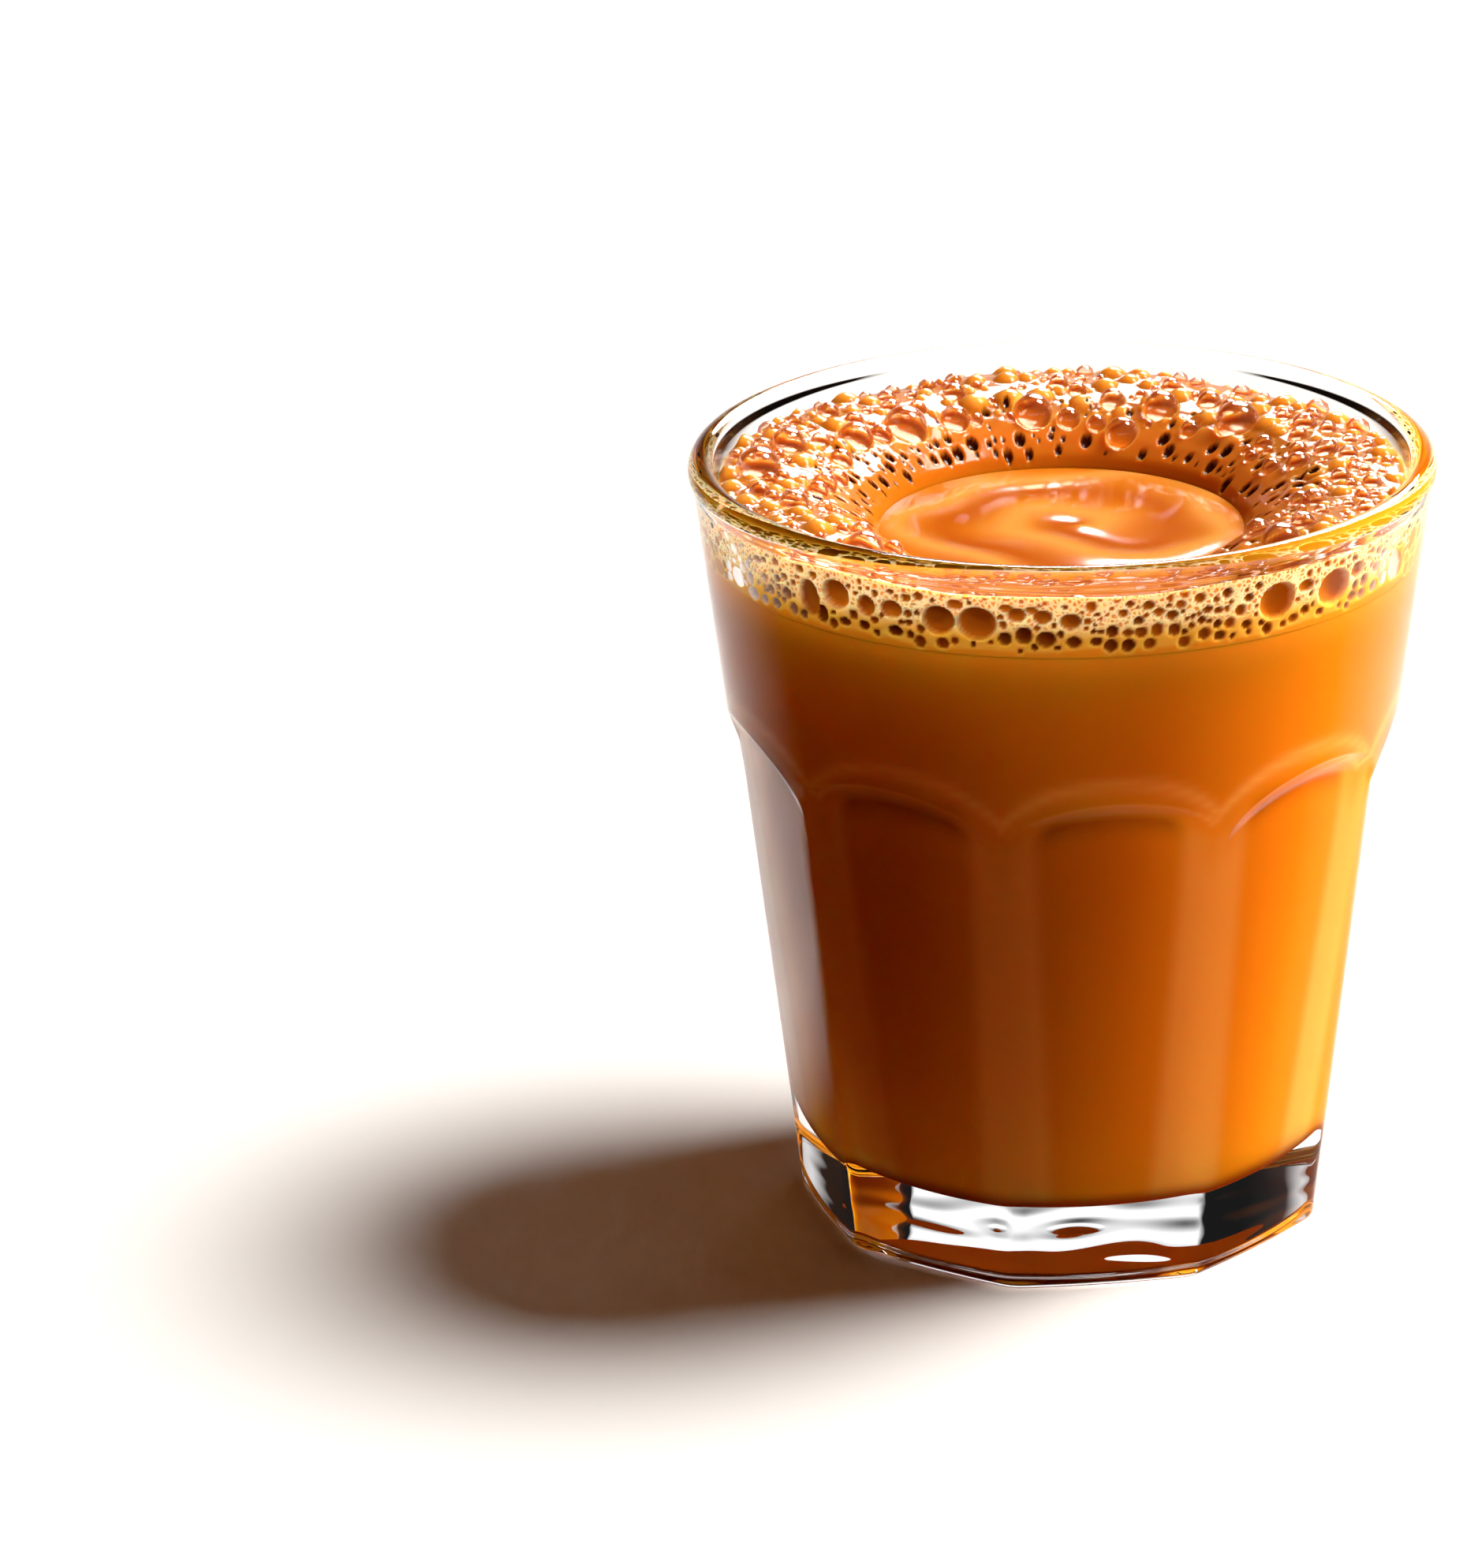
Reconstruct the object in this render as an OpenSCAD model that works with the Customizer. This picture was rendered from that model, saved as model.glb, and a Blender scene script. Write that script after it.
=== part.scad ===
// Pressed tumbler of tempered glass with nine arch-topped panels, holding milky tea
// under a collar of froth. Millimetres, +Z up, origin at the centre of the foot.
// Panel 1 faces -Y.

/* [Tumbler] */
// Height from the foot to the top of the lip
glass_h = 90; // [86:1:96]
// Diameter over the lip
rim_d = 83.7; // [83.2:0.1:85]
// Radius of the fire-polished lip, half its width
lip_r = 1.5; // [1.3:0.05:1.6]
// How far the lip stands proud of the wall under it
lip_bead = 0.3; // [0.15:0.05:0.5]
// Height at which the round wall begins, above the ribs
shoulder_h = 60; // [58:0.5:61]
// Height over which the wall eases down from the shoulder to the ribs
shoulder_run = 9; // [7:0.5:11]
// Depth by which the ribs lie inside the line of the round wall
rib_inset = 0.65; // [0.5:0.05:0.8]
// Diameter over the ribs at the foot
foot_d = 60.8; // [59.6:0.1:62]

/* [Panels] */
// Number of panels round the glass
panel_count = 9; // [8:1:10]
// Radius of the slight crown across a panel
crown_r = 110; // [95:1:140]
// Height of the arch peaks
arch_h = 61.8; // [61:0.1:64]
// Radius of the arch at the head of a panel
arch_r = 44; // [40:1:50]
// Radius of the scoop by which a panel runs out into the round wall
scoop_r = 10; // [8:0.5:13]
// Depth by which the ribs are blunted
rib_blunt = 0.15; // [0.05:0.05:0.3]
// Bevel along the foot
foot_bevel = 0.8; // [0.5:0.1:1.2]

/* [Cavity and base] */
// Thickness of the base between the foot and the cavity floor
base_t = 8.6; // [7:0.1:10]
// Thickness of the wall at the cavity floor
base_wall = 6.5; // [6:0.1:8]
// Radius between the cavity wall and the floor
cavity_fillet = 5; // [3:0.5:7]
// Width of the ring that the glass stands on, at a rib
foot_ring = 6; // [5:0.2:9]
// Depth of the flat recess inside that ring
recess_depth = 0.6; // [0.3:0.1:1.2]
// Diameter of the dimple that the mould leaves in the middle of the recess
dimple_d = 5; // [3:0.5:8]
// Depth of that dimple
dimple_depth = 0.4; // [0.2:0.1:0.8]

/* [Tea] */
// Depth of the tea's surface below the top of the lip
headroom = 9; // [8:0.5:12]
// Gap between the tea or the froth and the glass
fill_gap = 0.1; // [0.05:0.05:0.2]

/* [Froth] */
// Height of the froth above the tea at its crest
froth_h = 6.2; // [5:0.1:6.5]
// Diameter of the open pool of tea inside the froth
pool_d = 40.8; // [38:0.2:43]
// Radius of the largest cells pressed against the glass
wall_cell_r = 1.7; // [1.3:0.1:1.9]
// Number of cells along the foot of the froth
wall_cells = 32; // [24:1:38]
// Radius of the open pores on the inner slope
pore_r = 0.6; // [0.4:0.05:0.8]
// Number of pores in each row
pores = 22; // [16:1:26]

/* [Bubbles] */
// Radius of the largest bubble on the froth
bubble_r = 2.6; // [2:0.1:2.8]

/* [Hidden] */
$fn = 96;

// Overrun of every cut
cut_over = 2;
glass_colour = [0.86, 0.93, 0.95, 0.35];
chai_colour = [0.78, 0.42, 0.16];
froth_colour = [0.95, 0.78, 0.52];
bubble_colour = [0.98, 0.87, 0.68];

// Lip
lip_x = rim_d / 2 - lip_r;
lip_z = glass_h - lip_r;

// Round wall, a cone in line with the foot and the neck
neck_r = rim_d / 2 - lip_bead;
wall_slope = (neck_r - foot_d / 2) / lip_z;
function wall_r(z) = foot_d / 2 + z * wall_slope;

// Ribs, a cone from the foot to the bottom of the shoulder
rib_top_h = shoulder_h - shoulder_run;
rib_top_r = wall_r(rib_top_h) - rib_inset;

// Shoulder, an ease curve between the two cones
shoulder_steps = 10;
function ease(t) = t * t * (3 - 2 * t);
shoulder_points = [
    for (i = [1 : shoulder_steps])
        let (t = i / shoulder_steps, z = rib_top_h + shoulder_run * t)
        [wall_r(z) - rib_inset * (1 - ease(t)), z]
];

// Panel faces: crowned faces through the ribs' true edges, which the rib cone blunts
half_turn = 180 / panel_count;
function crown(r) = crown_r - sqrt(pow(crown_r, 2) - pow(r * sin(half_turn), 2));
function face_r(r) = r * cos(half_turn) + crown(r);
face_foot_r = face_r(foot_d / 2 + rib_blunt);
face_top_r = face_r(rib_top_r + rib_blunt);
face_tilt = atan((face_top_r - face_foot_r) / rib_top_h);

// Arch head, measured along the face and outwards from it
crown_drop = crown(rib_top_r + rib_blunt) + rib_blunt;
peak_out = (wall_r(arch_h) - face_foot_r) * cos(face_tilt) - arch_h * sin(face_tilt);
peak_up = (wall_r(arch_h) - face_foot_r) * sin(face_tilt) + arch_h * cos(face_tilt);
scoop_reach = sqrt(pow(scoop_r, 2) - pow(scoop_r - crown_drop - peak_out, 2));
arch_up = peak_up - arch_r - scoop_reach;

// Cavity wall, a cone from the floor to the inside of the lip
cavity_floor_r = wall_r(base_t) - base_wall;
cavity_top_r = rim_d / 2 - 2 * lip_r;
cavity_slope = (cavity_top_r - cavity_floor_r) / (lip_z - base_t);
cavity_lean = atan(cavity_slope);
function cavity_r(z) = cavity_floor_r + (z - base_t) * cavity_slope;
function fill_r(z) = cavity_r(z) - fill_gap / cos(cavity_lean);

// Recess under the base, and the sphere that cuts its dimple
recess_r = foot_d / 2 - foot_ring;
dimple_sphere_r = (pow(dimple_d / 2, 2) + pow(dimple_depth, 2)) / (2 * dimple_depth);

// Level of the tea
fill_h = glass_h - headroom;

// Froth: its upper surface from the pool's edge to the glass
froth_shares = [
    [0, 0], [0.05, 0.2], [0.16, 0.46], [0.3, 0.7], [0.46, 0.88], [0.66, 0.98],
    [0.84, 1], [0.95, 0.96], [1, 0.9]
];
pool_r = pool_d / 2;
froth_w = fill_r(fill_h + froth_h) - pool_r;
function froth_z(share) = fill_h + froth_h * lookup(share, froth_shares);
function froth_x(share) = pool_r + froth_w * share;

// Cells along the wall: sizes that repeat, and how high each stands in its own radii
cell_size_shares = [1, 0.55, 0.8, 0.45, 0.9, 0.6, 0.7, 0.5];
cell_lift_shares = [1.3, 1.6, 1.2, 2.6, 1.4, 3.1, 1.2, 1.8];

// Pores: rows across the inner slope, as shares of the froth's width
pore_row_shares = [0.08, 0.22];

// Bubbles: angle from -Y, place across the froth, and size
bubble_shares = [
    [-148, 0.38, 1.00], [-162, 0.36, 0.68], [-182, 0.34, 0.88], [-201, 0.46, 0.58],
    [-213, 0.44, 0.80], [-206, 0.20, 0.72], [-234, 0.45, 1.00], [-117, 0.67, 0.80],
    [-124, 0.54, 0.46], [-132, 0.42, 0.80], [-102, 0.75, 1.00], [-100, 0.34, 0.58],
    [96, 0.58, 0.58], [119, 0.66, 0.40], [112, 0.36, 0.44], [99, 0.76, 0.34],
    [86, 0.78, 0.28], [-80, 0.60, 0.70], [-56, 0.50, 0.84], [-30, 0.66, 0.54],
    [-6, 0.52, 0.76], [20, 0.44, 0.62], [40, 0.62, 0.88], [64, 0.48, 0.58]
];

// Cavity outline, drawn in by inset and stopped at height top
module cavity_outline(inset, top) {
    floor_z = base_t + inset;
    corner_r = cavity_fillet - inset;
    wall_in = inset / cos(cavity_lean);
    corner_x = cavity_r(floor_z + corner_r) - wall_in - corner_r / cos(cavity_lean);
    side_x = corner_x + corner_r * cos(cavity_lean);
    side_z = floor_z + corner_r - corner_r * sin(cavity_lean);
    polygon([
        [0, floor_z], [corner_x, floor_z], [side_x, side_z],
        [cavity_r(top) - wall_in, top], [0, top]
    ]);
    translate([corner_x, floor_z + corner_r]) circle(r = corner_r);
}

// Outside of the glass before the panels are cut
module blank() {
    rotate_extrude() {
        polygon(concat(
            [[0, 0], [foot_d / 2 - foot_bevel, 0], [foot_d / 2, foot_bevel], [rib_top_r, rib_top_h]],
            shoulder_points,
            [[neck_r, lip_z], [0, lip_z]]
        ));
        translate([lip_x, lip_z]) circle(r = lip_r);
    }
}

// What is cut away in front of one crowned face, with the bevel along its foot
module face_cut() {
    translate([0, crown_r, 0])
        rotate_extrude()
            polygon([
                [crown_r - foot_bevel - cut_over, -cut_over], [crown_r, foot_bevel],
                [crown_r, shoulder_h + shoulder_run], [crown_r + scoop_r, shoulder_h + shoulder_run],
                [crown_r + scoop_r, -cut_over]
            ]);
}

// Round-headed tool that gives the cut its arch and its scooped run-out
module arch_tool() {
    translate([0, crown_drop, arch_up])
        rotate([90, 0, 0]) {
            cylinder(h = scoop_r, r = arch_r);
            rotate_extrude() translate([arch_r, scoop_r]) circle(r = scoop_r);
        }
}

module panel_cut() {
    translate([0, -face_foot_r, 0])
        rotate([face_tilt, 0, 0])
            intersection() {
                face_cut();
                arch_tool();
            }
}

module cavity() {
    rotate_extrude() {
        cavity_outline(0, lip_z);
        polygon([
            [0, lip_z - cut_over], [cavity_r(lip_z - cut_over), lip_z - cut_over],
            [cavity_top_r, lip_z], [cavity_top_r, glass_h + cut_over], [0, glass_h + cut_over]
        ]);
    }
}

// Recess with a sloping edge, and its dimple
module recess() {
    rotate_extrude()
        polygon([
            [0, -cut_over], [recess_r, -cut_over], [recess_r, 0],
            [recess_r - recess_depth, recess_depth], [0, recess_depth]
        ]);
    translate([0, 0, recess_depth + dimple_depth - dimple_sphere_r]) sphere(r = dimple_sphere_r);
}

module glass() {
    color(glass_colour)
        difference() {
            blank();
            for (i = [0 : panel_count - 1]) rotate([0, 0, i * 2 * half_turn]) panel_cut();
            cavity();
            recess();
        }
}

module chai() {
    color(chai_colour) rotate_extrude() cavity_outline(fill_gap, fill_h);
}

// Froth without its cells and pores
module froth_body() {
    rotate_extrude()
        polygon(concat(
            [for (s = froth_shares) [s[0] < 1 ? froth_x(s[0]) : fill_r(froth_z(1)), froth_z(s[0])]],
            [[fill_r(fill_h), fill_h]]
        ));
}

module froth_collar() {
    color(froth_colour)
        difference() {
            froth_body();
            for (i = [0 : wall_cells - 1]) {
                r = wall_cell_r * cell_size_shares[i % len(cell_size_shares)];
                z = fill_h + r * cell_lift_shares[i % len(cell_lift_shares)];
                rotate([0, 0, i * 360 / wall_cells]) translate([0, -fill_r(z), z]) sphere(r = r);
            }
            for (row = [0 : len(pore_row_shares) - 1], i = [0 : pores - 1]) {
                share = pore_row_shares[row];
                rotate([0, 0, (i + row / 2) * 360 / pores])
                    translate([0, -froth_x(share), froth_z(share)]) sphere(r = pore_r);
            }
        }
}

module froth_bubbles() {
    color(bubble_colour)
        difference() {
            for (b = bubble_shares)
                rotate([0, 0, b[0]]) translate([0, -froth_x(b[1]), froth_z(b[1])]) sphere(r = bubble_r * b[2]);
            froth_body();
        }
}

glass();
chai();
froth_collar();
froth_bubbles();
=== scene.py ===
# %% [markdown]
# # A glass of milky tea
# A pressed tumbler with nine arch-topped panels stands on a pale floor. It is filled with
# milky tea, and a collar of froth rings an open pool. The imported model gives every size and
# place. This file adds what the eye wants: clear glass, light that sinks into the tea, and
# froth built bubble by bubble.

import bpy
import numpy as np
from mathutils import Matrix, Vector


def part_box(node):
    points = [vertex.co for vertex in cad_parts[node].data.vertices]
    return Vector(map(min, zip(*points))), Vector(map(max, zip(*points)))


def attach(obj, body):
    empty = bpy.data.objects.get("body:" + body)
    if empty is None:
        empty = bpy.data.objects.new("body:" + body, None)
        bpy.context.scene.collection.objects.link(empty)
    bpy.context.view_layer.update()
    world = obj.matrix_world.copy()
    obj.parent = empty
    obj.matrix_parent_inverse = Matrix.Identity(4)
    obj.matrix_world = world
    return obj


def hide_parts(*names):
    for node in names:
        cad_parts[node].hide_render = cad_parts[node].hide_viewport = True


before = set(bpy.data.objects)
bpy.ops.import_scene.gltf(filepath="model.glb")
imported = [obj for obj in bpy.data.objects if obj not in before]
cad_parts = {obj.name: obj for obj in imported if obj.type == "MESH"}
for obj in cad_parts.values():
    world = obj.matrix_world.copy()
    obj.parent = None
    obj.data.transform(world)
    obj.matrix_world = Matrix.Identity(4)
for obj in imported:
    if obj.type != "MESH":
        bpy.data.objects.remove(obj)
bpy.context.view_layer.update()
MM = 0.001
print("nodes:", sorted(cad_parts))

# %% [markdown]
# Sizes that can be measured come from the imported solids. The rest are the same named sizes
# that the solids were drawn with, in millimetres. R is a radius, H a height and T a
# thickness.

# %% Sizes
GLASS_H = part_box("glass")[1].z / MM
RIM_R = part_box("glass")[1].x / MM
FILL_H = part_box("chai")[1].z / MM
LIP_R = 1.5
LIP_BEAD = 0.3
FOOT_R = 30.4
SHOULDER_H = 60.0
SHOULDER_RUN = 9.0
RIB_INSET = 0.65
PANELS = 9
CROWN_R = 110.0
ARCH_H = 61.8
ARCH_R = 44.0
SCOOP_R = 10.0
RIB_BLUNT = 0.15
BASE_T = 8.6
BASE_WALL = 6.5
FILLET = 5.0
FOOT_RING = 6.0
RECESS_DEPTH = 0.6
DIMPLE_R = 2.5
DIMPLE_DEPTH = 0.4
POOL_R = 20.4
FROTH_H = 6.2
print("glass", round(GLASS_H, 2), "mm high, tea up to", round(FILL_H, 2), "mm")

# %% [markdown]
# Every curved piece here is a grid of points that closes round the axis: rows run along a
# profile, columns run round it. One function turns such a grid into a mesh, and closes a row
# that has shrunk to a point with a fan.


# %% Grid of rings to mesh
def ring_mesh(name, radius, angle, height, closed=False):
    """Mesh from arrays of radius, angle and height in mm, rows by columns. The point is
    (radius cos angle, radius sin angle, height). A first or last row of no radius becomes
    one vertex with a fan round it; closed joins the last row to the first instead."""
    radius, angle, height = np.broadcast_arrays(radius, angle, height)
    rows, columns = radius.shape
    points = np.stack([radius * np.cos(angle), radius * np.sin(angle), height], -1) * MM
    poles = [i for i in (0, rows - 1) if not closed and radius[i].max() < 1e-6]
    here = np.arange(rows * columns).reshape(rows, columns)
    for i in poles:
        here[i] = here[i, 0]
    lower = here if closed else here[:-1]
    upper = np.roll(here, -1, 0) if closed else here[1:]
    quads = np.stack([lower, np.roll(lower, -1, 1), np.roll(upper, -1, 1), upper], -1).reshape(-1, 4)
    first = quads[:, 0] == quads[:, 1]
    last = quads[:, 2] == quads[:, 3]
    faces = quads[~first & ~last].tolist()
    faces += quads[first][:, [0, 2, 3]].tolist() + quads[last][:, :3].tolist()
    used, renumbered = np.unique(np.concatenate([np.ravel(f) for f in faces]), return_inverse=True)
    ends = np.cumsum([len(f) for f in faces])[:-1]
    faces = [f.tolist() for f in np.split(renumbered.ravel(), ends)]
    mesh = bpy.data.meshes.new(name)
    mesh.from_pydata(points.reshape(-1, 3)[used].tolist(), [], faces)
    mesh.shade_smooth()
    mesh.set_sharp_from_angle(angle=np.radians(70))
    piece = bpy.data.objects.new(name, mesh)
    bpy.context.scene.collection.objects.link(piece)
    print(name, len(used), "points", len(faces), "faces")
    return piece, used


# %% [markdown]
# The glass. A gob of hot glass is pressed in a mould: a round wall above, nine slightly
# crowned panels below, each with an arched head where a round-nosed tool ran out of the
# wall. Solid modelling gives hard creases. The real thing is fire-polished, so every meeting
# of two surfaces is a small radius. Here the wall is worked out as one radius for each angle
# and height, and a smooth minimum rounds each meeting.


# %% Rounded meetings
def smooth_min(a, b, k):
    """The lesser of a and b, rounded where they differ by less than k: a parabola in
    (k - |a - b|) is taken off, a quarter of k deep where they are equal."""
    gap = np.maximum(k - np.abs(a - b), 0) / k
    return np.minimum(a, b) - gap * gap * k / 4


# %% Round wall
LIP_X = RIM_R - LIP_R
LIP_Z = GLASS_H - LIP_R
NECK_R = RIM_R - LIP_BEAD
WALL_SLOPE = (NECK_R - FOOT_R) / LIP_Z
RIB_TOP_H = SHOULDER_H - SHOULDER_RUN
RIB_TOP_R = FOOT_R + RIB_TOP_H * WALL_SLOPE - RIB_INSET


def wall_radius(z):
    """Round wall: a cone, and below the shoulder it eases inwards by 3t^2 - 2t^3 to the
    cone of the ribs."""
    t = np.clip((z - RIB_TOP_H) / SHOULDER_RUN, 0, 1)
    cone = FOOT_R + z * WALL_SLOPE - RIB_INSET * (1 - t * t * (3 - 2 * t))
    ribs = FOOT_R + (RIB_TOP_R - FOOT_R) * z / RIB_TOP_H
    return np.where(z > RIB_TOP_H, cone, ribs)


print("neck", round(NECK_R, 2), "mm, ribs up to", RIB_TOP_H, "mm")

# %% [markdown]
# One panel is a shallow crowned face that leans with the wall. The mould's maker cut its head
# with a round-nosed tool along an arch, so the face ends there in a scoop. The scoop rises
# until it comes out of the wall, and that line is the arch one sees.

# %% Panels with arched heads
HALF_TURN = np.pi / PANELS
HALVINGS = 36


def crown(r):
    """How far a crowned face falls back at the edge of a panel whose rib lies at radius r."""
    return CROWN_R - np.sqrt(CROWN_R**2 - (r * np.sin(HALF_TURN)) ** 2)


def face_radius(r):
    """Distance from the axis to the middle of a panel whose rib lies at radius r."""
    return r * np.cos(HALF_TURN) + crown(r)


FACE_FOOT_R = face_radius(FOOT_R + RIB_BLUNT)
FACE_TILT = np.arctan((face_radius(RIB_TOP_R + RIB_BLUNT) - FACE_FOOT_R) / RIB_TOP_H)
CROWN_DROP = crown(RIB_TOP_R + RIB_BLUNT) + RIB_BLUNT
PEAK = wall_radius(np.array(ARCH_H)) - FACE_FOOT_R
PEAK_OUT = PEAK * np.cos(FACE_TILT) - ARCH_H * np.sin(FACE_TILT)
PEAK_UP = PEAK * np.sin(FACE_TILT) + ARCH_H * np.cos(FACE_TILT)
SCOOP_REACH = np.sqrt(SCOOP_R**2 - (SCOOP_R - CROWN_DROP - PEAK_OUT) ** 2)
ARCH_UP = PEAK_UP - ARCH_R - SCOOP_REACH


def panel_radius(turn, z):
    """Radius of a panel at an angle from its middle and a height. In the panel's own leaning
    frame the surface stands out by the greater of the crowned face and the scoop, a quarter
    circle that rises outside the arch. Halving an interval finds where a ray from the axis
    meets it."""
    low = np.full(np.broadcast(turn, z).shape, 20.0)
    high = np.full_like(low, 48.0)
    for _ in range(HALVINGS):
        r = (low + high) / 2
        out = r * np.cos(turn) - FACE_FOOT_R
        across = r * np.sin(turn)
        up = out * np.sin(FACE_TILT) + z * np.cos(FACE_TILT)
        stands = out * np.cos(FACE_TILT) - z * np.sin(FACE_TILT)
        face = np.sqrt(CROWN_R**2 - across**2) - CROWN_R
        beyond = np.clip(np.hypot(across, up - ARCH_UP) - ARCH_R, 0, SCOOP_R)
        scoop = SCOOP_R - CROWN_DROP - np.sqrt(SCOOP_R**2 - beyond**2)
        outside = stands > np.maximum(face, scoop)
        low = np.where(outside, low, r)
        high = np.where(outside, r, high)
    return low


RIB_ROUNDING = 0.2
ARCH_ROUNDING = 0.25


def outer_radius(turn, z):
    """Radius of the whole outside: the round wall or the panel, whichever is less, and the
    next panel where its edge is near."""
    own = panel_radius(turn, z)
    beside = panel_radius(2 * HALF_TURN - np.abs(turn), z)
    return smooth_min(smooth_min(own, beside, RIB_ROUNDING), wall_radius(z), ARCH_ROUNDING)


print("panels lean", round(float(np.degrees(FACE_TILT)), 2), "degrees")

# %% [markdown]
# Points go where the surface turns fastest. Columns crowd towards the ribs. Rows crowd
# towards the arch, so its height is found first at each angle, and rows then follow it.

# %% Where the glass is sampled
HALF_COLUMNS = 32
COLUMN_CROWDING = 1.8
step = np.arange(HALF_COLUMNS) / HALF_COLUMNS
past_rib = HALF_TURN * (np.exp(COLUMN_CROWDING * step) - 1) / (np.exp(COLUMN_CROWDING) - 1)
one_panel = np.concatenate([past_rib - HALF_TURN, [0.0], (HALF_TURN - past_rib)[:0:-1]])
turn = np.tile(one_panel, PANELS)
angle = (np.repeat(np.arange(PANELS), len(one_panel)) * 2 * HALF_TURN) + turn - np.pi / 2

near = np.linspace(0, 0.9 * HALF_TURN, 30)[None, :]
tall = np.linspace(45, 66, 400)[:, None]
is_wall = panel_radius(near, tall) > wall_radius(tall)
low_edge = np.array([tall[np.flatnonzero(~is_wall[:, i])[-1], 0] for i in range(near.shape[1])])
arch_curve = np.polyfit(near[0] ** 2, low_edge, 2)
arch_line = np.polyval(arch_curve, turn**2)[None, :]
print("arch from", round(arch_line.min(), 2), "to", round(arch_line.max(), 2), "mm")

# %% Outside rows
# the edge of the foot, rounded by the fire: how far in from the outside, and how high
FOOT_EDGE = np.array([[1.6, 0], [1.2, 0], [0.95, 0.02], [0.8, 0.07], [0.65, 0.18], [0.4, 0.4],
                      [0.15, 0.65], [0.05, 0.8], [0.01, 0.98], [0, 1.3]])
# rows crowd within this many mm of the arch, and stop this many mm under the lip's middle
ARCH_BAND = 7
ROW_CROWDING = 1.6
LIP_GAP = 1.4
t = np.linspace(0, 1, 11)[1:-1, None]
below = FOOT_EDGE[-1, 1] + (arch_line - ARCH_BAND - FOOT_EDGE[-1, 1]) * t
t = np.linspace(-1, 1, 41)[:, None]
around = arch_line + ARCH_BAND * np.sign(t) * np.abs(t) ** ROW_CROWDING
t = np.linspace(0, 1, 9)[1:, None]
above = around[-1:] + (LIP_Z - LIP_GAP - around[-1:]) * t
heights = np.concatenate([below, around, above])
outside = outer_radius(turn[None, :], heights)
foot_z = np.repeat(FOOT_EDGE[:, 1:], len(turn), 1)
foot_radius = outer_radius(turn[None, :], foot_z) - FOOT_EDGE[:, :1]
print("outside:", len(heights) + len(foot_z), "rows of", len(turn), "points")

# %% [markdown]
# The underside. A tumbler stands on a ring, so the mould lifts the middle of the base a
# little and marks its centre with a dimple. The glass chills against the mould and keeps
# slow waves. Seen through the heavy base, they bend the floor and the tea into swirls.

# %% Underside rows
WAVE_DEPTH = 0.075
RECESS_R = FOOT_R - FOOT_RING
dimple_r = DIMPLE_R * np.linspace(0, 1, 7)[:, None]
dimple_z = RECESS_DEPTH + DIMPLE_DEPTH * (1 - (dimple_r / DIMPLE_R) ** 2)
t = np.linspace(0, 1, 7)[:, None]
step_r = RECESS_R - RECESS_DEPTH * (1 - t)
step_z = RECESS_DEPTH * (1 - t * t * (3 - 2 * t))
flat_r = DIMPLE_R + (step_r[0] - DIMPLE_R) * np.linspace(0, 1, 30)[1:-1, None]


def press_waves(r, a):
    """Slow waves that the cool press leaves in glass, in mm: two crossed sines, each bent by
    the other direction. They die out at the dimple over 3 mm and at the edge of the recess
    over 14 mm."""
    x, y = r * np.cos(a), r * np.sin(a)
    one_way = np.sin(x / 1.9 + 1.2 * np.sin(y / 3.3))
    other_way = 1.1 * np.sin(y / 2.1 - 0.9 * np.sin(x / 2.7 + 0.6))
    fade = np.clip((r - DIMPLE_R) / 3, 0, 1) * np.clip((step_r[0] - r) / 14, 0, 1)
    return WAVE_DEPTH * (one_way + other_way) * fade


flat_z = RECESS_DEPTH + press_waves(flat_r, angle[None, :])
ring_r = RECESS_R + (foot_radius[:1] - RECESS_R) * np.array([[0.06], [0.5]])
print("waves up to", round(float(np.abs(flat_z - RECESS_DEPTH).max()), 3), "mm")

# %% Lip and cavity rows
lip_angle = np.radians(np.linspace(-36, 186, 21))[:, None]
lip_r = LIP_X + LIP_R * np.cos(lip_angle)
lip_z = LIP_Z + LIP_R * np.sin(lip_angle)
CAVITY_TOP_R = RIM_R - 2 * LIP_R
FLOOR_R = FOOT_R + BASE_T * WALL_SLOPE - BASE_WALL
CAVITY_SLOPE = (CAVITY_TOP_R - FLOOR_R) / (LIP_Z - BASE_T)
CAVITY_LEAN = np.arctan(CAVITY_SLOPE)


def cavity_radius(z):
    """The plunger's cone: it widens evenly from the floor of the cavity to the lip."""
    return FLOOR_R + (z - BASE_T) * CAVITY_SLOPE


def cavity_rows(grow, top, wall_rows):
    """Radius and height down the cavity wall, round the fillet and in to the middle of the
    floor, grown outwards by a small amount."""
    r = FILLET + grow
    floor_z = BASE_T - grow
    corner_z = BASE_T + FILLET
    corner_x = cavity_radius(corner_z) - FILLET / np.cos(CAVITY_LEAN)
    side_z = corner_z - r * np.sin(CAVITY_LEAN)
    wall_z = np.linspace(top, side_z, wall_rows)
    wall_x = cavity_radius(wall_z) + grow / np.cos(CAVITY_LEAN)
    a = np.linspace(-CAVITY_LEAN, -np.pi / 2, 14)[1:]
    floor_x = corner_x * np.linspace(1, 0, 7)[1:]
    x = np.concatenate([wall_x, corner_x + r * np.cos(a), floor_x])
    z = np.concatenate([wall_z, corner_z + r * np.sin(a), np.full(6, floor_z)])
    return x[:, None], z[:, None]


def stack(*rows):
    """Joins (radius, height) blocks of rows into one grid, each spread over all columns."""
    wide = [np.stack(np.broadcast_arrays(r, z, turn[None, :])[:2]) for r, z in rows]
    return np.concatenate(wide, 1)


inner = cavity_rows(0, LIP_Z - 0.6, 14)
glass_r, glass_z = stack(
    (dimple_r, dimple_z),
    (flat_r, flat_z),
    (step_r, step_z),
    (ring_r, 0.0 * ring_r),
    (foot_radius, foot_z),
    (outside, heights),
    (lip_r, lip_z),
    inner,
)
glass, _ = ring_mesh("tumbler", glass_r, angle[None, :], glass_z)

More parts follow.
